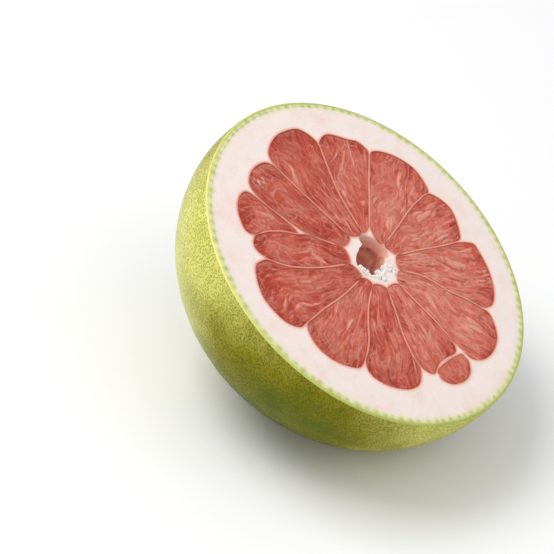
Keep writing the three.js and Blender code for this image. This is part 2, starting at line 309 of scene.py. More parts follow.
def span_points(p, steps):
    """A centripetal curve's points from p[1] up to p[2], with p[0] and p[3] beside them."""
    gaps = [max(np.linalg.norm(p[i + 1] - p[i]) ** 0.5, 1e-4) for i in range(3)]
    first, last = (
        ((b - a) / before - (c - a) / (before + after) + (c - b) / after) * gaps[1]
        for (a, b, c), (before, after) in ((p[:3], gaps[:2]), (p[1:], gaps[1:]))
    )
    t = np.linspace(0, 1, steps, endpoint=False)[:, None]
    a = 2 * p[1] - 2 * p[2] + first + last
    b = -3 * p[1] + 3 * p[2] - 2 * first - last
    return a * t ** 3 + b * t ** 2 + first * t + p[1]


def smooth_line(points, steps=12):
    """A smooth open curve through the points."""
    ends = [2 * points[0] - points[1], *points, 2 * points[-1] - points[-2]]
    spans = [span_points(ends[i:i + 4], steps) for i in range(len(points) - 1)]
    return np.vstack([*spans, points[-1:]])


def evenly(points, count):
    """A polyline's points spaced evenly along it."""
    along = np.concatenate([[0], np.cumsum(np.linalg.norm(np.diff(points, axis=0), axis=1))])
    wanted = np.linspace(0, along[-1], count)
    return np.column_stack([np.interp(wanted, along, points[:, k]) for k in (0, 1)])


def membrane_face(line, side):
    """A membrane's line moved by half its thickness towards the segment at one side."""
    points = smooth_line(face_points(line))
    points = evenly(points, max(3, int(np.linalg.norm(points[-1] - points[0]) / 6) + 2))
    along = np.gradient(points, axis=0)
    along /= np.linalg.norm(along, axis=1)[:, None]
    across = np.column_stack([-along[:, 1], along[:, 0]])
    return points + side * MEMBRANE_THICKNESS / 2 * across


def segment_sides(segment):
    """The four smooth sides of a segment: start membrane, outer wall, end membrane and tip."""
    start = membrane_face(segment["start"], 1)
    end = membrane_face(segment["end"], -1)[::-1]
    wall = face_points(segment["wall"])
    tip = face_points([segment["tip"]]) if "tip" in segment else np.empty((0, 2))
    corners = np.vstack([start, wall, end, tip])
    count = len(corners)
    spans = []
    for i in range(count):
        around = [corners[(i + k) % count] for k in (-1, 0, 1, 2)]
        spans.append(span_points(around, 10))
    cuts = [0, len(start) - 1, len(start) + len(wall), len(start) + len(wall) + len(end) - 1, count]
    sides = []
    for k in range(4):
        line = np.vstack(spans[cuts[k]:cuts[k + 1]])
        closing = corners[cuts[k + 1] % count]
        sides.append(np.vstack([line, closing[None]]))
    return sides


def outline_of(sides):
    """A segment's whole outline, anticlockwise."""
    return np.vstack([side[:-1] for side in sides])


def distance_inside(points, outline):
    """Distance of points from a closed outline, more than 0 inside it."""
    result = np.full(len(points), 1e9)
    inside = np.zeros(len(points), dtype=bool)
    following = np.roll(outline, -1, axis=0)
    for a, b in zip(outline, following):
        edge = b - a
        share = np.clip(((points - a) @ edge) / max(edge @ edge, 1e-12), 0, 1)
        gap = points - a - share[:, None] * edge
        result = np.minimum(result, np.hypot(gap[:, 0], gap[:, 1]))
        if a[1] != b[1]:
            crosses = (points[:, 1] < a[1]) != (points[:, 1] < b[1])
            at = a[0] + (points[:, 1] - a[1]) * edge[0] / edge[1]
            inside ^= crosses & (points[:, 0] < at)
    return np.where(inside, result, -result)


# Placing


def cut_middle():
    """The middle of the cut face, from the rim of the skin's solid, in metres."""
    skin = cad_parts["rind_skin"]
    points = np.array([skin.matrix_world @ v.co for v in skin.data.vertices])
    height = points @ np.array([0, -math.sin(FACE_LEAN), math.cos(FACE_LEAN)])
    rim = points[height > height.max() - 1e-5]
    return (rim.min(axis=0) + rim.max(axis=0)) / 2


CUT_MIDDLE = cut_middle()


def leaned(points):
    """Millimetre points of the cut's frame as millimetre points above the floor."""
    x, y, z = points.T
    c, s = math.cos(FACE_LEAN), math.sin(FACE_LEAN)
    return np.column_stack([x, y * c - z * s, y * s + z * c]) + CUT_MIDDLE / MM


def pressed(points, layer):
    """Leaned points pressed flat where the fruit rests; layer is their depth under the skin."""
    height = points[:, 2] + FLOOR_SKIM - layer
    soft = (height + PRESS_ROUNDING) ** 2 / (4 * PRESS_ROUNDING)
    flat = PRESS_REMAINDER * (height + PRESS_ROUNDING)
    new = np.where(height >= PRESS_ROUNDING, height, np.where(height <= -PRESS_ROUNDING, flat, soft))
    result = points.copy()
    result[:, 2] = np.maximum(new - FLOOR_SKIM, 0) + layer
    return result


def drift(depth):
    """Sideways drift of the fruit at a depth below the cut."""
    return BODY_DRIFT * np.tanh(np.maximum(depth, 0) / DRIFT_DEPTH)[:, None]


def mesh_points(mesh):
    points = np.empty(len(mesh.vertices) * 3)
    mesh.vertices.foreach_get("co", points)
    return points.reshape(-1, 3)


def polar_of(points):
    """Radius, angle in degrees from 0 to 360, and depth of points in the cut's frame."""
    x, y, z = points.T
    return np.hypot(x, y), np.degrees(np.arctan2(y, x)) % 360, -z


def set_points(mesh, points):
    mesh.vertices.foreach_set("co", points.ravel())
    mesh.update()


def set_values(mesh, name, values):
    """A number for each vertex, for the material to read."""
    layer = mesh.attributes.new(name, "FLOAT", "POINT")
    layer.data.foreach_set("value", np.asarray(values, dtype=np.float32))


def mouth_radius(degrees):
    """The radius of the core's mouth at angles from 0 to 360."""
    return np.interp(degrees, *np.array(CORE_MOUTH + ((360, CORE_MOUTH[0][1]),)).T)


def piece_from(bm, name):
    """A finished bmesh as an object with smooth faces."""
    mesh = bpy.data.meshes.new(name)
    bm.to_mesh(mesh)
    bm.free()
    mesh.shade_smooth()
    piece = bpy.data.objects.new(name, mesh)
    bpy.context.scene.collection.objects.link(piece)
    return piece


def spun(profile, steps):
    """A closed body spun from a profile of (radius, height) points that ends on the axis."""
    bm = bmesh.new()
    verts = [bm.verts.new((x, 0, z)) for x, z in profile]
    edges = [bm.edges.new(pair) for pair in zip(verts, verts[1:])]
    bmesh.ops.spin(
        bm, geom=verts + edges, cent=(0, 0, 0), axis=(0, 0, 1),
        angle=2 * math.pi, steps=steps, use_merge=True, use_normal_flip=False, use_duplicate=False,
    )
    poles = [v for v in bm.verts if math.hypot(v.co.x, v.co.y) < 1e-4]
    bmesh.ops.remove_doubles(bm, verts=poles, dist=1e-3)
    bmesh.ops.recalc_face_normals(bm, faces=bm.faces)
    return bm


def opened_glands(points, rim):
    """Oil glands that the knife opened in a row around the rim: 1 inside each, fading to 0 around it."""
    middle = rim - GLAND_ROW_INSET
    radius = np.hypot(points[:, 0], points[:, 1])
    around = np.arctan2(points[:, 1], points[:, 0]) / (2 * math.pi) * GLAND_ROW_COUNT
    pitch = 2 * math.pi * middle / GLAND_ROW_COUNT
    gland = np.floor(around).astype(np.int64)
    aside, inwards, size, strength = (hashed(gland, 0, number, 26) for number in range(4))
    along = (around - gland - 0.5 - 0.3 * (aside - 0.5)) * pitch
    across = radius - middle - 0.6 * (inwards - 0.5)
    return (0.5 + 0.5 * strength) * bell(np.hypot(along, across), 0, 0.9 + 0.7 * size)


def layer_profile(inset, count, rim):
    """The fruit's outline from the pole to its rim, for a layer inset under the skin."""
    side = rim / math.sqrt(1 - (BELLY_BELOW_CUT / BELLY_DEPTH) ** 2) - inset
    depth = BELLY_DEPTH - inset
    start = -math.asin(BELLY_BELOW_CUT / depth)
    slope = start + np.linspace(1, 0, count) * (math.pi / 2 - start)
    return np.column_stack([side * np.cos(slope), -(BELLY_BELOW_CUT + depth * np.sin(slope))])


# Materials

# The Mix node's sockets by number, because it repeats their names for each kind of data:
# its share, its two colours and its result
SHARE, FIRST, SECOND, MIXED = 0, 6, 7, 2
COLOURS = {"data_type": "RGBA"}
SMOOTH = {"interpolation_type": "SMOOTHSTEP"}

# Millimetres to one unit of the flow map, which follows the juice sacs
FLOW_UNIT = 100.0


def add(tree, kind, inputs=(), output=0, stops=(), **settings):
    """Adds a node with its settings, sets or links its inputs and gives back one of its outputs.

    Inputs go by name, or in their order, and a colour ramp takes (place, colour) stops.
    """
    node = tree.nodes.new("ShaderNode" + kind)
    for key, value in settings.items():
        setattr(node, key, value)
    for key, value in inputs.items() if isinstance(inputs, dict) else enumerate(inputs):
        if isinstance(value, bpy.types.NodeSocket):
            tree.links.new(value, node.inputs[key])
        else:
            node.inputs[key].default_value = value
    for number, (place, colour) in enumerate(stops):
        elements = node.color_ramp.elements
        stop = elements[number] if number < len(elements) else elements.new(place)
        stop.position, stop.color = place, colour
    return node.outputs[output]


def new_material(name):
    """A material with nothing but its output."""
    material = bpy.data.materials.new(name)
    material.use_nodes = True
    material.node_tree.nodes.remove(material.node_tree.nodes["Principled BSDF"])
    return material, material.node_tree


def finished(material, shader):
    """The material with its shader linked to its output."""
    tree = material.node_tree
    tree.links.new(shader, tree.nodes["Material Output"].inputs["Surface"])
    return material


def rind_material():
    """Waxy citrus skin: thin wax over oil glands, so a soft broad sheen broken by fine pits; on one side
    that sheen is a painted highlight, a paler colour.
    """
    shape = bpy.context.scene.pomelo_shape
    tint = bpy.context.scene.pomelo_colours
    material, tree = new_material("citrus_rind_waxed")
    place = add(tree, "TexCoord", output="Object")
    ripe, cut, inner, pale, opened = (
        add(tree, "Attribute", output="Fac", attribute_name=name)
        for name in ("ripe", "cut", "inner", "pale", "opened_glands")
    )
    # Blotches of ripening, about 14 mm across
    blotch = add(tree, "TexNoise", {"Vector": place, "Scale": 1 / (14 * MM), "Detail": 3.0})
    uneven = add(tree, "Math", (blotch, 0.5), operation="SUBTRACT")
    # Yellowness with blotches: partly the skin's own colour, partly painted shade, darker green low on the
    # near side
    ripeness_and_shade = add(tree, "Math", (uneven, 0.5, ripe), operation="MULTIPLY_ADD", use_clamp=True)
    ground = add(tree, "ValToRGB", (ripeness_and_shade,), stops=(
        (0.0, tuple(tint.skin_green)),
        (0.45, linear("#8c820c")),
        (1.0, tuple(tint.skin_yellow)),
    ))
    # Oil glands about 1.2 mm apart, each a darker pit. They are the middles of cells of 0.95 mm
    # in a solid pattern, which the surface cuts more sparsely, moved about by up to 0.6 mm
    warp = add(tree, "TexNoise", {"Vector": place, "Scale": 1 / (2.2 * MM), "Detail": 1.0}, "Color")
    moved = add(tree, "VectorMath", (warp, (0.6 * MM,) * 3, place), operation="MULTIPLY_ADD")
    glands = add(tree, "TexVoronoi", {"Vector": moved, "Scale": 1 / shape.gland_cell, "Randomness": 0.75})
    pit = add(tree, "MapRange", (glands, 0.22, 0.62, 1.0, 0.0), **SMOOTH)
    clear = add(tree, "MapRange", (ripeness_and_shade, 0.25, 0.9, 0.85, 0.52), **SMOOTH)
    darkened = add(tree, "Math", (pit, clear), operation="MULTIPLY")
    skin = ground
    # Painted highlight: the pale share paints a broad soft sheen as paler colour over the skin
    for share, over in ((darkened, tuple(tint.gland)), (pale, linear("#dce0a0"))):
        skin = add(tree, "Mix", {SHARE: share, FIRST: skin, SECOND: over}, MIXED, **COLOURS)
    # The cut band: greener or more lemon with the ripeness, paler inwards, and greener again at
    # the glands that the knife opened
    band = linear("#a9b95a")
    for share, over in (
        (ripe, tuple(tint.cut_skin)),
        (inner, linear("#efebc0")),
        (opened, linear("#acb24a")),
    ):
        band = add(tree, "Mix", {SHARE: share, FIRST: band, SECOND: over}, MIXED, **COLOURS)
    colour = add(tree, "Mix", {SHARE: cut, FIRST: skin, SECOND: band}, MIXED, **COLOURS)
    # Pits and a slight orange-peel swell in the wax, about 4 mm across
    swell = add(tree, "TexNoise", {"Vector": place, "Scale": 1 / (4 * MM), "Detail": 2.0})
    raised = add(tree, "Math", (swell, 0.5), operation="MULTIPLY")
    height = add(tree, "Math", (raised, pit), operation="SUBTRACT")
    normal = add(tree, "Bump", {"Strength": 0.6, "Distance": 0.22 * MM, "Height": height})
    return finished(material, add(tree, "BsdfPrincipled", {
        "Base Color": colour,
        "Roughness": add(tree, "MapRange", (pit, 0.0, 1.0, 0.36, 0.55), **SMOOTH),
        "IOR": 1.45,
        "Specular IOR Level": 0.09,
        "Normal": normal,
    }))


def pith_material():
    """Spongy albedo: air-filled cells that scatter light, so matt, soft and faintly pink."""
    tint = bpy.context.scene.pomelo_colours
    material, tree = new_material("pith_albedo_spongy")
    place = add(tree, "TexCoord", output="Object")
    near, core, bleed, opened, rosy = (
        add(tree, "Attribute", output="Fac", attribute_name=name)
        for name in ("pulp_distance", "core_depth", "green_bleed", "opened_glands", "rosy")
    )
    # Broad faint pink clouds, about 12 mm, and a fine sponge, about 1 mm
    cloud = add(tree, "TexNoise", {"Vector": place, "Scale": 1 / (12 * MM), "Detail": 3.0})
    sponge = add(tree, "TexNoise", {"Vector": place, "Scale": 1 / (1.1 * MM), "Detail": 2.0})
    flesh = tuple(tint.pith)
    for share, over in (
        (add(tree, "MapRange", (cloud, 0.45, 0.75, 0.0, 0.6), **SMOOTH), linear("#f4d3c7")),
        (add(tree, "MapRange", (sponge, 0.5, 0.8, 0.0, 0.35), **SMOOTH), linear("#fbf4ef")),
        (bleed, linear("#ece8bc")),
        (opened, linear("#b5ba58")),
    ):
        flesh = add(tree, "Mix", {SHARE: share, FIRST: flesh, SECOND: over}, MIXED, **COLOURS)
    # Juice has stained the membranes and the pith beside them, over about 3 mm
    halo = add(tree, "ValToRGB", (near,), stops=(
        (0.0, linear("#dd917c")),
        (0.07, tuple(tint.membrane)),
        (0.12, linear("#eeac99")),
        (0.22, linear("#f5ccbe")),
        (0.5, linear("#f7e1d8")),
    ))
    away = add(tree, "MapRange", (near, 0.2, 0.9, 0.0, 1.0), **SMOOTH)
    # The core's lining: juice-stained salmon, darkest near the mouth and down the slope into it; deeper in
    # the hollow it is painted much paler, painted light against the hollow's shade
    lining = add(tree, "ValToRGB", (core,), stops=(
        (0.0, linear("#f1e2d6")),
        (0.05, linear("#e0a897")),
        (0.2, linear("#d08673")),
        (0.37, linear("#c57a67")),
        (0.46, linear("#f6bba7")),
        (1.0, linear("#f8b6a0")),
    ))
    inside = add(tree, "MapRange", (core, 0.0, 0.06, 0.0, 1.0), **SMOOTH)
    colour = halo
    for share, over in ((rosy, linear("#d98b76")), (away, flesh), (inside, lining)):
        colour = add(tree, "Mix", {SHARE: share, FIRST: colour, SECOND: over}, MIXED, **COLOURS)
    return finished(material, add(tree, "BsdfPrincipled", {
        "Base Color": colour,
        "Roughness": 0.62,
        "IOR": 1.38,
        "Subsurface Weight": 0.25,
        "Subsurface Radius": (1.0, 0.6, 0.45),
        "Subsurface Scale": 2.2 * MM,
        "Normal": add(tree, "Bump", {"Strength": 0.35, "Distance": 0.2 * MM, "Height": sponge}),
    }))


def pulp_material():
    """Juice sacs: thin wet skins over juice, so glossy, translucent red with pale skins."""
    tint = bpy.context.scene.pomelo_colours
    material, tree = new_material("juice_sacs_wet")
    flow = add(tree, "UVMap", uv_map="flow")
    sac, seam, sunk, edge, sac_skin_and_glint = (
        add(tree, "Attribute", output="Fac", attribute_name=name)
        for name in ("sac", "seam", "sunk", "edge", "sac_skin_and_glint")
    )
    # Fibres along the sacs, about 0.7 mm wide and 5 mm long, clouds of air and juice under the
    # skins, about 8 by 12 mm, and flecks of about 1.2 by 2 mm
    fibre, cloud, fleck = (
        add(tree, "TexNoise", {
            "Vector": add(tree, "Mapping", {
                "Vector": flow, "Scale": (FLOW_UNIT / wide, FLOW_UNIT / long, 1.0),
            }),
            "Scale": 1.0, "Detail": detail, "Distortion": twist,
        })
        for wide, long, detail, twist in ((0.7, 5.0, 3.0, 0.9), (8.0, 12.0, 3.0, 0.0), (1.2, 2.0, 2.0, 0.4))
    )
    body = add(tree, "ValToRGB", (sac,), stops=(
        (0.0, linear("#a82c17")),
        (0.35, tuple(tint.pulp)),
        (0.7, linear("#d66f59")),
        (1.0, linear("#e39a85")),
    ))
    hazy = add(tree, "MapRange", (cloud, 0.42, 0.68, 0.0, 0.45), **SMOOTH)
    plain = add(tree, "MapRange", (cloud, 0.35, 0.6, 1.0, 0.45), **SMOOTH)
    light = add(tree, "MapRange", (fibre, 0.53, 0.72, 0.0, 0.6), **SMOOTH)
    dark = add(tree, "MapRange", (fibre, 0.3, 0.47, 0.42, 0.0), **SMOOTH)
    colour = body
    for share, over in (
        (hazy, linear("#d28571")),
        (add(tree, "MapRange", (fleck, 0.54, 0.72, 0.0, 0.5), **SMOOTH), linear("#dc8a74")),
        (add(tree, "MapRange", (fleck, 0.3, 0.46, 0.5, 0.0), **SMOOTH), linear("#ab2f1a")),
        (add(tree, "Math", (light, plain), operation="MULTIPLY"), tuple(tint.pulp_pale)),
        (add(tree, "Math", (dark, plain), operation="MULTIPLY"), linear("#a4331f")),
        (seam, linear("#ad3b26")),
        (sunk, tuple(tint.pulp_deep)),
        # Pale sac skins, and at segment 5's pale mark a painted highlight
        (sac_skin_and_glint, linear("#f2cdbf")),
        (edge, linear("#b04a37")),
    ):
        colour = add(tree, "Mix", {SHARE: share, FIRST: colour, SECOND: over}, MIXED, **COLOURS)
    return finished(material, add(tree, "BsdfPrincipled", {
        "Base Color": colour,
        "Roughness": 0.3,
        "IOR": 1.36,
        "Subsurface Weight": 0.25,
        "Subsurface Radius": (1.0, 0.3, 0.2),
        "Subsurface Scale": 1.5 * MM,
        "Coat Weight": 0.14,
        "Coat Roughness": 0.15,
        "Normal": add(tree, "Bump", {"Strength": 0.6, "Distance": 0.3 * MM, "Height": fibre}),
    }))


def fibre_material():
    """Torn pith: dry loose fibres, the whitest thing on the fruit, with no gloss."""
    material, tree = new_material("pith_fibre_torn")
    place = add(tree, "TexCoord", output="Object")
    # A loose grain, about 0.8 mm
    grain = add(tree, "TexNoise", {"Vector": place, "Scale": 1 / (0.8 * MM), "Detail": 2.0})
    stained = add(tree, "MapRange", (grain, 0.35, 0.7, 0.0, 0.6), **SMOOTH)
    mix = {SHARE: stained, FIRST: linear("#fffaf0"), SECOND: linear("#f8e2d4")}
    return finished(material, add(tree, "BsdfPrincipled", {
        "Base Color": add(tree, "Mix", mix, MIXED, **COLOURS),
        "Roughness": 0.75,
        "IOR": 1.4,
        "Subsurface Weight": 0.3,
        "Subsurface Radius": (1.0, 0.7, 0.6),
        "Subsurface Scale": 1.5 * MM,
        "Normal": add(tree, "Bump", {"Strength": 0.5, "Distance": 0.3 * MM, "Height": grain}),
    }))


# Pieces


class POMELO_OT_rind(Operator):
    """Model the green skin as one closed cup with a rounded rim and dimpled outside"""

    bl_idname = "pomelo.rind"
    bl_label = "Green skin"

    SPIN_STEPS = 500
    SIDE_POINTS = 150
    LINING_POINTS = 18
    BAND_POINTS = 9
    RIM_ROUNDING = 0.45
    # Depth and size, in millimetres, of the broad swell and of the dimples, and the depths below
    # the cut between which both grow from nothing
    SWELL = (0.35, 9.0)
    DIMPLES = (0.1, 2.6)
    CALM_RIM = (0.3, 5.0)
    # Sides of the fruit, by the middle and the spread of their angles on the cut face; the olive
    # side has one spread before its middle and one after
    LEMON_BAND = (150, 48)
    YELLOW_SIDE = (145, 34)
    OLIVE_SIDE = (250, 25, 55)
    # The painted highlight, a broad soft sheen painted as paler colour on one side of the skin: which way it
    # faces, the direction
    # # across it in the cut's frame, its width along that, and its strength with how much that varies
    SHEEN_FACING = (-0.555, 0.624, -0.550)
    SHEEN_ACROSS = (-0.754, -0.099, 0.649)
    SHEEN_WIDTH = 0.42
    SHEEN_STRENGTH = (0.56, 0.14)

    def execute(self, context):
        shape = context.scene.pomelo_shape
        rim = shape.rim_radius / MM
        thickness = shape.skin_thickness / MM
        lining = layer_profile(thickness, self.LINING_POINTS, rim)[::-1]
        piece = piece_from(spun(self.profile(rim, lining), self.SPIN_STEPS), "green_skin")
        mesh = piece.data
        points = mesh_points(mesh)
        normal = np.empty(len(points) * 3)
        mesh.vertices.foreach_get("normal", normal)
        normal = normal.reshape(-1, 3)
        radius, angle, depth = polar_of(points)
        outside = radius > np.interp(depth, -lining[:, 1], lining[:, 0]) + thickness * 0.5
        skin = outside & (depth > self.RIM_ROUNDING)
        on_band = depth < 0.1
        lemon = 0.15 + 0.85 * bell(angle, *self.LEMON_BAND)
        paler = 0.9 * ease(rim - 0.5, rim - thickness + 0.3, radius)
        for name, values in (
            # On the skin, yellowness that is partly its own colour and partly painted shade; on the cut
            # band, how lemon it is
            ("ripe", np.where(skin, self.ripeness_and_shade(points, angle, depth), lemon)),
            ("cut", ~skin),
            ("inner", on_band * paler),
            ("opened_glands", on_band * 0.85 * opened_glands(points, rim)),
            # Painted highlight: a broad soft sheen painted as paler colour
            ("pale", skin * self.painted_sheen(points, normal)),
        ):
            set_values(mesh, name, values)
        moved = points - normal * np.where(skin, self.hollows(points, depth), 0)[:, None]
        moved[:, :2] += drift(depth)
        set_points(mesh, pressed(leaned(moved), np.where(outside, 0, thickness)) * MM)
        mesh.materials.append(rind_material())
        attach(piece, ROOT)
        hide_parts("rind_skin")
        return {"FINISHED"}

    def profile(self, rim, lining):
        """The cup's outline: the outside from its pole, the rim's corner, the cut band, the lining."""
        outer = layer_profile(0, self.SIDE_POINTS, rim)
        outer = outer[outer[:, 1] < -self.RIM_ROUNDING * 1.3]
        turn = np.linspace(0, math.pi / 2, 4)
        corner = np.column_stack([np.cos(turn) - 1, np.sin(turn) - 1]) * self.RIM_ROUNDING + [rim, 0]
        across = np.linspace(rim - self.RIM_ROUNDING, lining[0, 0], self.BAND_POINTS)[1:-1]
        band = np.column_stack([across, np.zeros(len(across))])
        profile = np.vstack([outer, corner, band, lining])
        profile[[0, -1], 0] = 0
        return profile

    def hollows(self, points, depth):
        """How far the skin lies inside the fruit's smooth outline."""
        (swell_depth, swell_size), (dimple_depth, dimple_size) = self.SWELL, self.DIMPLES
        swell = noise(points / swell_size, 11) + 0.5 * noise(points / (swell_size / 2.3), 12)
        dimple = noise(points / (dimple_size / 2), 13)
        inward = swell_depth * (0.5 + 0.33 * swell) + dimple_depth * (0.5 + 0.5 * dimple)
        return inward * ease(*self.CALM_RIM, depth)

    def painted_sheen(self, points, normal):
        """How strong the painted highlight is: the skin painted paler where a broad soft sheen would lie."""
        strength, change = self.SHEEN_STRENGTH
        painted_sheen = ease(0.7, 0.96, normal @ self.SHEEN_FACING)
        painted_sheen *= bell(normal @ self.SHEEN_ACROSS, 0, self.SHEEN_WIDTH)
        return painted_sheen * (strength + change * noise(points / 7, 15))

    def ripeness_and_shade(self, points, angle, depth):
        """How yellow the skin is: yellow on one shoulder, olive on the near side, green elsewhere; the deep
        green between the yellow shoulder and the olive side is partly painted shade.
        """
        yellow = 0.85 * bell(angle, *self.YELLOW_SIDE) * (1 - 0.45 * ease(25, 60, depth))
        middle, before, after = self.OLIVE_SIDE
        olive = 0.72 * bell(angle, middle, np.where(angle < middle, before, after))
        shoulder = 0.3 * (1 - ease(0, 26, depth))
        return np.clip(0.07 + yellow + olive + shoulder + 0.1 * noise(points / 16, 14), 0, 1)


class POMELO_OT_pith(Operator):
    """Model the white pith, cut out its cells and its core, and raise its membranes"""

    bl_idname = "pomelo.pith"
    bl_label = "White pith and membranes"

    SPIN_STEPS = 640
    SIDE_POINTS = 18
    FACE_POINTS = 118
    CORE_POINTS = 22
    CELL_CLEARANCE = 0.02
    CUTTER_RISE = 3.0
    SKIN_CLEARANCE = 0.03
    # Height of the face's mottle, and how far from the pulp the stained pith reaches
    MOTTLE = 0.12
    HALO_REACH = 3.2
    # The slope into the core's mouth: its depth, the angles between which it begins, is full,
    # is still full and ends, and the radii between which it fades out
    FUNNEL_DEPTH = 4.4
    FUNNEL_ANGLES = (-30, 6, 58, 80)
    FUNNEL_RADII = (7.5, 13.5)
    # The hollow core lies within the first radius at its mouth and the second at its floor
    CORE_REACH = (12, 9)
    # The rosier side of the face, by the middle and the spread of its angles
    ROSY_SIDE = (125, 45)
    # Radius plus depth from which the pith is pressed where the fruit rests
    PRESSED_FROM = 70

    def execute(self, context):
        shape = context.scene.pomelo_shape
        rim = shape.rim_radius / MM
        inset = shape.skin_thickness / MM + self.SKIN_CLEARANCE
        side = layer_profile(inset, self.SIDE_POINTS, rim)
        side[0, 0] = 0
        mouth = np.mean([radius for _, radius in CORE_MOUTH])
        across = np.linspace(side[-1, 0], mouth, self.FACE_POINTS)[1:]
        face = np.column_stack([across, np.zeros(len(across))])
        share = np.linspace(0, 1, self.CORE_POINTS)[1:]
        width = np.interp(share, *np.array(CORE_LAYERS).T)
        core = np.column_stack([mouth * width, -CORE_DEPTH * share])
        core[-1, 0] = 0
        body = piece_from(spun(np.vstack([side, face, core]), self.SPIN_STEPS), "white_pith")
        self.shape_core(body.data, mouth)
        cutter = self.cells_cutter()
        cut = body.modifiers.new("cells", "BOOLEAN")
        cut.operation = "DIFFERENCE"
        cut.solver = "MANIFOLD"
        cut.object = cutter
        context.view_layer.update()
        evaluated = body.evaluated_get(context.evaluated_depsgraph_get())
        mesh = bpy.data.meshes.new_from_object(evaluated)
        body.modifiers.clear()
        body.data = mesh
        bpy.data.objects.remove(cutter)
        if len(mesh.vertices) < self.SPIN_STEPS * self.SIDE_POINTS:
            raise RuntimeError("the cells were not cut out of the pith")
        self.relief(mesh, rim, inset)
        mesh.materials.clear()
        mesh.materials.append(pith_material())
        mesh.set_sharp_from_angle(angle=math.radians(50))
        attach(body, ROOT)
        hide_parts("pith")
        return {"FINISHED"}

    @staticmethod
    def shape_core(mesh, mouth):
        """Turns the round mouth of the core into its real, uneven outline."""
        points = mesh_points(mesh)
        radius, angle, depth = polar_of(points)
        share = np.where(depth < CORE_DEPTH + 1, 1 - ease(mouth, mouth + 4, radius), 0)
        points[:, :2] *= (1 + (mouth_radius(angle) / mouth - 1) * share)[:, None]
        set_points(mesh, points)

    def cells_cutter(self):
        """One object of all the segments' bodies, a little proud of the cut face."""
        bm = bmesh.new()
        for segment in SEGMENTS:
            outline = outline_of(segment_sides(segment))
            top = bm.faces.new([bm.verts.new((x, y, self.CUTTER_RISE)) for x, y in outline])
            rim = {vert: place for vert, place in zip(top.verts, outline)}
            reach = segment.get("depth", PULP_DEPTH)
            depths = [0, *(share * reach for share in PULP_LAYERS)]
            sink_walls(bm, list(top.edges), rim, depths, -self.CELL_CLEARANCE)
        bmesh.ops.recalc_face_normals(bm, faces=bm.faces)
        return piece_from(bm, "cells_cutter")

    def relief(self, mesh, rim, inset):
        """Raises the membranes, mottles the face and writes what the material reads."""
        points = mesh_points(mesh)
        flat = points[:, :2]
        radius, angle, depth = polar_of(points)
        # Angles from -150 to 210, so that the slope and the rosy side each lie in one run
        angle = (angle + 150) % 360 - 150
        top = depth < 0.01
        near = np.full(len(points), self.HALO_REACH)
        for segment in SEGMENTS:
            outline = outline_of(segment_sides(segment))
            low, high = outline.min(axis=0) - self.HALO_REACH, outline.max(axis=0) + self.HALO_REACH
            close = top & np.all((flat > low) & (flat < high), axis=1)
            near[close] = np.minimum(near[close], np.abs(distance_inside(flat[close], outline)))
        near_share = near / self.HALO_REACH
        mottle = self.MOTTLE * (noise(points / 5, 21) + 0.6 * noise(points / 1.9, 22))
        calm = ease(rim - inset, rim - inset - 2, radius) * ease(0.2, 2.5, near)
        lip = 0.1 * bell(near, 0, 0.8)
        begins, full, still_full, ends = self.FUNNEL_ANGLES
        funnel = self.FUNNEL_DEPTH * ease(begins, full, angle) * ease(ends, still_full, angle)
        slope = 1 - ease(*self.FUNNEL_RADII, radius)
        reach = np.interp(depth, [0, CORE_DEPTH], self.CORE_REACH)
        wall = (radius < reach) & (depth > 0.01) & (depth < CORE_DEPTH + 1)
        ragged = 0.5 * noise(np.column_stack([flat / 1.6, points[:, 2] / 5]), 23)
        moved = points.copy()
        moved[:, 2] += top * (mottle * calm + lip - funnel * slope)
        moved[:, 2] -= wall * funnel * (1 - depth / CORE_DEPTH)
        moved[:, :2] += flat * (wall * ragged / np.maximum(radius, 1e-6))[:, None]
        moved[:, :2] += drift(depth)
        sloped = 0.36 * funnel / self.FUNNEL_DEPTH
        lined = sloped + (1 - sloped) * depth / CORE_DEPTH
        bleed = ease(rim - inset - 2.6, rim - inset + 0.4, radius) * (0.8 + 0.4 * noise(points / 3, 24))
        rosy = 0.7 * bell(angle, *self.ROSY_SIDE) * (1 - ease(0.12, 0.3, near_share))
        for name, values in (
            ("pulp_distance", near_share),
            ("core_depth", np.where(wall, lined, top * sloped * slope)),
            ("green_bleed", top * bleed),
            ("opened_glands", top * 0.85 * opened_glands(points, rim)),
            ("rosy", top * rosy),
        ):
            set_values(mesh, name, values)
        placed = leaned(moved)
        outer = radius + depth > self.PRESSED_FROM
        set_points(mesh, np.where(outer[:, None], pressed(placed, inset), placed) * MM)


def at_depth(points, middle, depth, clearance):
    """Outline points of a segment's body at a depth, with the membranes as thick as above."""
    reach = PULP_POLE_DEPTH - BELLY_BELOW_CUT
    narrow = math.sqrt((1 - ((depth - BELLY_BELOW_CUT) / reach) ** 2) / (1 - (BELLY_BELOW_CUT / reach) ** 2))
    thinning = max(0.0, 1 - narrow) * MEMBRANE_THICKNESS / 2 + clearance
    to_middle = middle - points
    to_middle /= np.linalg.norm(to_middle, axis=1)[:, None]
    return points * narrow + to_middle * thinning


def sink_walls(bm, edges, rim, depths, clearance):
    """Carries a segment's walls down from its rim (each vertex with its face point) and closes them."""
    middle = np.mean(list(rim.values()), axis=0)
    for depth in depths:
        sources = {tuple(vert.co): place for vert, place in rim.items()}
        grown = bmesh.ops.extrude_edge_only(bm, edges=edges)["geom"]
        edges = [item for item in grown if isinstance(item, bmesh.types.BMEdge)]
        rim = {item: sources[tuple(item.co)] for item in grown if isinstance(item, bmesh.types.BMVert)}
        lowered = at_depth(np.array(list(rim.values())), middle, depth, clearance)
        for vert, (x, y) in zip(rim, lowered):
            vert.co = (x, y, -depth)
    bmesh.ops.holes_fill(bm, edges=edges, sides=0)


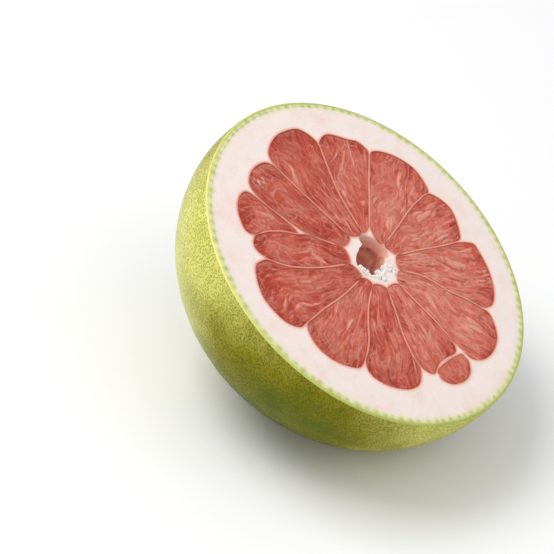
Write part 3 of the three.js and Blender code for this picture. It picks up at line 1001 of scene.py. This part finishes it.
class POMELO_OT_pulp(Operator):
    """Model each segment of pulp with the relief of its cut juice sacs"""

    bl_idname = "pomelo.pulp"
    bl_label = "Pulp segments"

    GRID_STEP = 0.36
    CLEARANCE = 0.03
    EDGE_DROP = 0.13
    EDGE_ROUNDING = 0.6
    # The sacs' run bends and wobbles: the size of each turn, how far it goes across and along
    # the segment, and its seed
    TURNS = ((13.0, (4.6, 6.0), 100), (3.6, (0.5, 1.2), 150))
    # A segment's width at its tip, as a share of its width at the outer wall
    TIP_SHARE = 0.35
    SLIT_SIZE = (1.15, 8.5)
    SAC_RISE = 0.32
    SINK = 0.28
    # The shade of the pulp, and how much paler or redder each segment is than that
    SHADE = 0.22
    TONES = (0.16, 0.18, -0.02, -0.14, -0.26, -0.2, -0.12, -0.12, -0.04, -0.08, 0.12, 0.1, 0.26, 0.22)
    # A slit is open where its draw is above the first, less the second by the outer wall and the
    # third by the sides, and pale where its other draw is above SHINES
    OPENS = (0.97, 0.13, 0.08)
    SHINES = 0.93

    def execute(self, context):
        material = pulp_material()
        for number, segment in enumerate(SEGMENTS, 1):
            piece = self.segment_piece(context, segment, number)
            piece.data.materials.append(material)
            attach(piece, ROOT)
            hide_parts(f"pulp_segment_{number:02d}")
        return {"FINISHED"}

    def segment_piece(self, context, segment, number):
        sides = segment_sides(segment)
        _, wall, _, tip = sides
        length = np.linalg.norm(wall[len(wall) // 2] - tip[len(tip) // 2])
        width = np.linalg.norm(wall[0] - wall[-1])
        across = int(max(width, 8) * 1.25 / self.GRID_STEP)
        along = int(length * 1.1 / self.GRID_STEP)
        bm = bmesh.new()
        bmesh.ops.create_grid(bm, x_segments=across, y_segments=along, size=0.5)
        unit = np.array([v.co[:2] for v in bm.verts]) + 0.5
        place = self.patch(unit, *sides)
        inside = np.maximum(distance_inside(place, outline_of(sides)), 0)
        height, values = self.sacs(context, segment, place, unit, width, length, inside, number)
        flow = bm.loops.layers.uv.new("flow")
        right, left = (self.patch(unit * [0, 1] + [side, 0], *sides) for side in (0, 1))
        local_width = np.linalg.norm(right - left, axis=1)
        stream = np.column_stack([(unit[:, 0] - 0.5) * local_width, unit[:, 1] * length]) / FLOW_UNIT
        turns = np.column_stack([noise(place / 9, seed + number) for seed in (31, 61)])
        stream += 2.6 * turns / FLOW_UNIT
        bm.verts.index_update()
        for face in bm.faces:
            for loop in face.loops:
                loop[flow].uv = stream[loop.vert.index] + number
        for vert, (x, y), z in zip(bm.verts, place, height):
            vert.co = (x, y, z)
        edges = [edge for edge in bm.edges if edge.is_boundary]
        rim = {v: np.array(v.co[:2]) for edge in edges for v in edge.verts}
        reach = segment.get("depth", PULP_DEPTH) - self.CLEARANCE
        sink_walls(bm, edges, rim, [share * reach for share in PULP_LAYERS], self.CLEARANCE)
        bmesh.ops.recalc_face_normals(bm, faces=bm.faces)
        piece = piece_from(bm, f"pulp_{number:02d}")
        mesh = piece.data
        for name, column in values.items():
            padded = np.full(len(mesh.vertices), 0.4 if name == "edge" else 0.0)
            padded[:len(column)] = column
            set_values(mesh, name, padded)
        points = mesh_points(mesh)
        points[:, :2] += drift(-points[:, 2])
        set_points(mesh, leaned(points) * MM)
        mesh.set_sharp_from_angle(angle=math.radians(60))
        return piece

    @staticmethod
    def patch(unit, start, wall, end, tip):
        """A patch between four sides: start and end run from the tip outwards, wall and tip across."""
        def at(side, share):
            along = np.concatenate([[0], np.cumsum(np.linalg.norm(np.diff(side, axis=0), axis=1))])
            return np.column_stack([np.interp(share * along[-1], along, side[:, k]) for k in (0, 1)])
        u, v = unit[:, :1], unit[:, 1:]
        right, left = at(start, unit[:, 1]), at(end[::-1], unit[:, 1])
        far, near = at(wall, unit[:, 0]), at(tip[::-1], unit[:, 0])
        inner = (1 - u) * start[0] + u * end[-1]
        outer = (1 - u) * start[-1] + u * end[0]
        return (1 - u) * right + u * left + (1 - v) * (near - inner) + v * (far - outer)

    def sacs(self, context, segment, place, unit, width, length, inside, number):
        """Heights and material values of the cut juice sacs over a segment's top.

        Each noise has a seed of its own, to which the segment's number is added.
        """
        shape = context.scene.pomelo_shape
        side = (unit[:, 0] - 0.5) * width * (self.TIP_SHARE + (1 - self.TIP_SHARE) * unit[:, 1])
        stream = np.column_stack([side, unit[:, 1] * length])
        for size, reach, seed in self.TURNS:
            turns = [noise(place / size, seed + number), noise(place / size, 2 * seed + number)]
            stream += np.column_stack(turns) * reach
        sac_size = np.array([shape.sac_width, shape.sac_length]) / MM
        border, tone, other = cells(stream / sac_size, 300 + number)
        slit, shine, chance = cells(stream / self.SLIT_SIZE, 400 + number)
        shade = self.SHADE + self.TONES[number - 1]
        outer = ease(0.7, 1.0, unit[:, 1])
        clear = ease(-0.4, 0.5, noise(place / 7, 550 + number))
        seam = (1 - ease(0.0, 0.2, border)) * (0.1 + 0.45 * clear)
        swell = ease(0.0, 0.6, border)
        sides = np.exp(-inside / 2.5)
        rarity, by_wall, by_sides = self.OPENS
        opened = (chance > rarity - by_wall * outer - by_sides * sides) * ease(0.06, 0.5, slit)
        tone = 0.5 + (tone - 0.5) * ease(0.0, 0.3, border) * (0.6 + 0.4 * clear)
        tone += 0.8 * (shine > self.SHINES) * ease(0.05, 0.4, slit)
        tone += 0.22 * noise(place / 3.2, 650 + number)
        height = self.SAC_RISE * (swell - 0.7) + 0.3 * (tone - 0.5) - self.SINK * opened
        height += 0.22 * noise(place / 6, 500 + number)
        calm = ease(0.0, 1.8, inside)
        # Pale lines of the sacs' own skins along their borders; the pale marks and the fold add to them, and
        # segment 5's pale mark is a painted highlight
        sac_skin_and_glint = 0.3 * (1 - ease(0.0, 0.12, border)) * (1 - clear) * ease(0.0, 1.0, inside)
        spot = np.zeros(len(place))
        for degrees, radius, reach, strength in segment.get("marks", ()):
            near = np.linalg.norm(place - face_points([(degrees, radius)]), axis=1)
            patch = bell(near, 0, reach) * ease(0.0, 0.35, noise(place / [0.8, 1.6], 700 + number))
            sac_skin_and_glint = np.maximum(sac_skin_and_glint, strength * patch)
            spot = np.maximum(spot, -strength * patch)
        opened = np.maximum(opened, spot)
        if "fold" in segment:
            first, last = face_points(segment["fold"])
            line = last - first
            share = np.clip((place - first) @ line / (line @ line), 0, 1)
            away = np.linalg.norm(place - first - share[:, None] * line, axis=1)
            fold = bell(away, 0, 0.45) * (1 - 0.8 * share)
            sac_skin_and_glint = np.maximum(sac_skin_and_glint, 0.55 * fold)
            height -= 0.3 * fold
        rounding = self.EDGE_DROP * bell(inside, 0, self.EDGE_ROUNDING)
        height = height * calm - rounding - 0.1
        deep = np.exp(-inside / 4) * ease(-0.3, 0.5, noise(place / 3.6, 600 + number))
        values = {
            "sac": np.clip(shade + 0.62 * tone - 0.56 * deep - 0.3 * outer + 0.1 * other, 0, 1),
            "sac_skin_and_glint": sac_skin_and_glint,
            "seam": seam * calm,
            "sunk": 0.7 * opened * calm,
            "edge": 0.3 * bell(inside, 0, 0.4),
        }
        return height, values


class POMELO_OT_core_fibres(Operator):
    """Model the torn white pith that stands round the near side of the core's mouth"""

    bl_idname = "pomelo.core_fibres"
    bl_label = "Torn pith at the core"

    # The collar, in degrees round the mouth, how far outside the mouth it is rooted, and how far
    # its edge hangs down. It is longer at two places, by the middle and spread of their angles
    START = 172.0
    END = 326.0
    STEP = 1.0
    ROWS = 9
    ROOTED = 1.2
    HANG = 2.2
    LONGER_LEFT = (204, 20)
    LONGER_LOW = (257, 12)
    # Loose crumbs: the degrees and the radii they lie between, and how many
    CRUMBS = ((184, 222, 6.4, 10.0, 30), (246, 268, 6.6, 10.4, 20), (296, 320, 9.2, 12.6, 12))
    CRUMB_SIZE = (0.35, 0.85)

    def execute(self, context):
        bm = bmesh.new()
        self.collar(bm)
        self.crumbs(bm)
        bmesh.ops.recalc_face_normals(bm, faces=bm.faces)
        piece = piece_from(bm, "torn_core_pith")
        set_points(piece.data, leaned(mesh_points(piece.data)) * MM)
        piece.data.materials.append(fibre_material())
        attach(piece, ROOT)
        return {"FINISHED"}

    def collar(self, bm):
        """A torn lip that hangs into the core's mouth."""
        columns = int((self.END - self.START) / self.STEP)
        bmesh.ops.create_grid(bm, x_segments=columns, y_segments=self.ROWS, size=0.5)
        unit = np.array([v.co[:2] for v in bm.verts]) + 0.5
        degrees = self.START + unit[:, 0] * (self.END - self.START)
        along = np.column_stack([degrees / 6.0, np.zeros(len(degrees))])
        spikes = np.abs(noise(along, 71)) * 2.0 + np.abs(noise(along * 2.7, 72)) * 1.8
        left = bell(degrees, *self.LONGER_LEFT)
        low = bell(degrees, *self.LONGER_LOW)
        reach = 0.3 + spikes * (0.3 + 0.9 * left + 0.8 * low)
        ends = ease(0, 0.08, unit[:, 0]) * ease(1, 0.92, unit[:, 0])
        inward = unit[:, 1]
        radius = mouth_radius(degrees) + self.ROOTED - inward * (self.ROOTED + reach) * ends
        lumps = noise(np.column_stack([degrees / 4.5, inward * 5]), 73)
        lift = 0.06 + ends * (0.5 * np.sin(inward * math.pi * 0.8) + 0.35 * lumps * ease(0, 0.3, inward))
        lift -= self.HANG * ease(0.5, 1.0, inward) * (1 - 0.6 * np.maximum(left, low))
        turn = np.radians(degrees)
        for vert, x, y, z in zip(bm.verts, radius * np.cos(turn), radius * np.sin(turn), lift):
            vert.co = (x, y, z)
        bmesh.ops.solidify(bm, geom=bm.faces[:], thickness=0.4)

    def crumbs(self, bm):
        """Crumbs of torn pith, each an uneven lump half sunk in the lip."""
        chance = np.random.default_rng(7)
        for start, end, inner, outer, count in self.CRUMBS:
            for _ in range(count):
                degrees = chance.uniform(start, end)
                radius = chance.uniform(inner, outer)
                size = chance.uniform(*self.CRUMB_SIZE)
                spot = np.array([
                    radius * math.cos(math.radians(degrees)),
                    radius * math.sin(math.radians(degrees)),
                    0.25 - 0.5 * max(0.0, mouth_radius(degrees) - radius),
                ])
                made = bmesh.ops.create_icosphere(bm, subdivisions=3, radius=size)["verts"]
                points = np.array([v.co[:] for v in made])
                bulge = 1 + 0.6 * noise(points / size * 1.4 + spot, 74)
                bulge += 0.35 * noise(points / size * 3.2 + spot, 75)
                squash = chance.uniform(0.5, 1.5, 3) * [1, 1, 0.7]
                for vert, point in zip(made, points * bulge[:, None] * squash + spot):
                    vert.co = point


class POMELO_OT_stage(Operator):
    """Set up the pale floor, the soft studio light and the camera at the photograph's view"""

    bl_idname = "pomelo.stage"
    bl_label = "Floor, light and camera"

    FLOOR_SIZE = 6.0
    SKY_STRENGTH = 0.62
    # Each light's name, its place along the view's right, up and back, its size and its power
    LIGHTS = (
        ("key_soft", (-0.55, 1.15, 0.75), 0.9, 13.0),
        ("edge_soft", (-1.25, 0.15, -0.15), 0.8, 9.0),
        ("fill_soft", (1.1, 0.5, 0.9), 1.0, 2.5),
    )

    def execute(self, context):
        axes = self.view_axes()
        self.camera(context, axes)
        self.floor()
        self.world(context)
        for light in self.LIGHTS:
            self.light(axes, *light)
        return {"FINISHED"}

    @staticmethod
    def view_axes():
        """Right, up and back of the photograph's line of sight to the cut face."""
        a, e, r = CAMERA_AZIMUTH, CAMERA_ELEVATION, CAMERA_ROLL
        back = Vector((math.sin(a) * math.cos(e), -math.cos(a) * math.cos(e), math.sin(e)))
        right = Vector((math.cos(a), math.sin(a), 0))
        up = back.cross(right)
        rolled_right = right * math.cos(r) + up * math.sin(r)
        rolled_up = up * math.cos(r) - right * math.sin(r)
        return rolled_right, rolled_up, back

    @staticmethod
    def camera(context, axes):
        right, up, back = axes
        radius = context.scene.pomelo_shape.rim_radius
        per_pixel = radius / FACE_RADIUS_PIXELS
        middle = Vector(CUT_MIDDLE)
        eye = middle + back * CAMERA_DISTANCE
        aside = (FACE_PIXEL[0] - PHOTO_PIXELS / 2) * per_pixel
        above = (PHOTO_PIXELS / 2 - FACE_PIXEL[1]) * per_pixel
        aim = middle - right * aside - up * above
        z = (eye - aim).normalized()
        x = up.cross(z).normalized()
        y = z.cross(x)
        data = bpy.data.cameras.new("photo_camera")
        data.sensor_width = SENSOR_WIDTH
        data.lens = SENSOR_WIDTH * CAMERA_DISTANCE / (per_pixel * PHOTO_PIXELS)
        data.clip_end = 20.0
        camera = bpy.data.objects.new("photo_camera", data)
        camera.matrix_world = Matrix.Translation(eye) @ Matrix((x, y, z)).transposed().to_4x4()
        context.scene.collection.objects.link(camera)
        context.scene.camera = camera

    def floor(self):
        """Matt white table paper, even."""
        bm = bmesh.new()
        bmesh.ops.create_grid(bm, x_segments=1, y_segments=1, size=self.FLOOR_SIZE / 2)
        piece = piece_from(bm, "pale_floor")
        material, tree = new_material("paper_white_matt")
        paper = {"Base Color": linear("#fbfbfa"), "Roughness": 0.9, "IOR": 1.4}
        piece.data.materials.append(finished(material, add(tree, "BsdfPrincipled", paper)))

    def world(self, context):
        world = bpy.data.worlds.new("soft_white")
        world.use_nodes = True
        sky = world.node_tree.nodes["Background"]
        sky.inputs["Color"].default_value = linear("#fdfdff")
        sky.inputs["Strength"].default_value = self.SKY_STRENGTH
        context.scene.world = world
        context.scene.view_settings.view_transform = "Standard"

    @staticmethod
    def light(axes, name, place, size, power):
        """A square soft box that looks at the fruit, placed along the view's axes."""
        middle = Vector(CUT_MIDDLE)
        right, up, back = axes
        spot = middle + right * place[0] + up * place[1] + back * place[2]
        data = bpy.data.lights.new(name, "AREA")
        data.shape = "SQUARE"
        data.size = size
        data.energy = power
        lamp = bpy.data.objects.new(name, data)
        lamp.location = spot
        lamp.rotation_euler = (middle - spot).to_track_quat("-Z", "Y").to_euler()
        bpy.context.scene.collection.objects.link(lamp)


class VIEW3D_PT_pomelo(Panel):
    bl_label = "Pomelo half"
    bl_space_type = "VIEW_3D"
    bl_region_type = "UI"
    bl_category = "Pomelo"

    def draw(self, context):
        layout = self.layout
        for group in (context.scene.pomelo_shape, context.scene.pomelo_colours):
            for name in group.bl_rna.properties.keys():
                if name not in ("rna_type", "name"):
                    layout.prop(group, name)
        for operator in OPERATORS:
            layout.operator(operator.bl_idname)


OPERATORS = (
    POMELO_OT_stage,
    POMELO_OT_rind,
    POMELO_OT_pith,
    POMELO_OT_pulp,
    POMELO_OT_core_fibres,
)
CLASSES = (PomeloShape, PomeloColours, *OPERATORS, VIEW3D_PT_pomelo)


def register():
    for item in CLASSES:
        bpy.utils.register_class(item)
    bpy.types.Scene.pomelo_shape = PointerProperty(type=PomeloShape)
    bpy.types.Scene.pomelo_colours = PointerProperty(type=PomeloColours)


def unregister():
    del bpy.types.Scene.pomelo_colours
    del bpy.types.Scene.pomelo_shape
    for item in reversed(CLASSES):
        bpy.utils.unregister_class(item)


def main():
    register()
    bpy.ops.pomelo.stage()
    bpy.ops.pomelo.rind()
    bpy.ops.pomelo.pith()
    bpy.ops.pomelo.pulp()
    bpy.ops.pomelo.core_fibres()


if __name__ == "__main__":
    main()
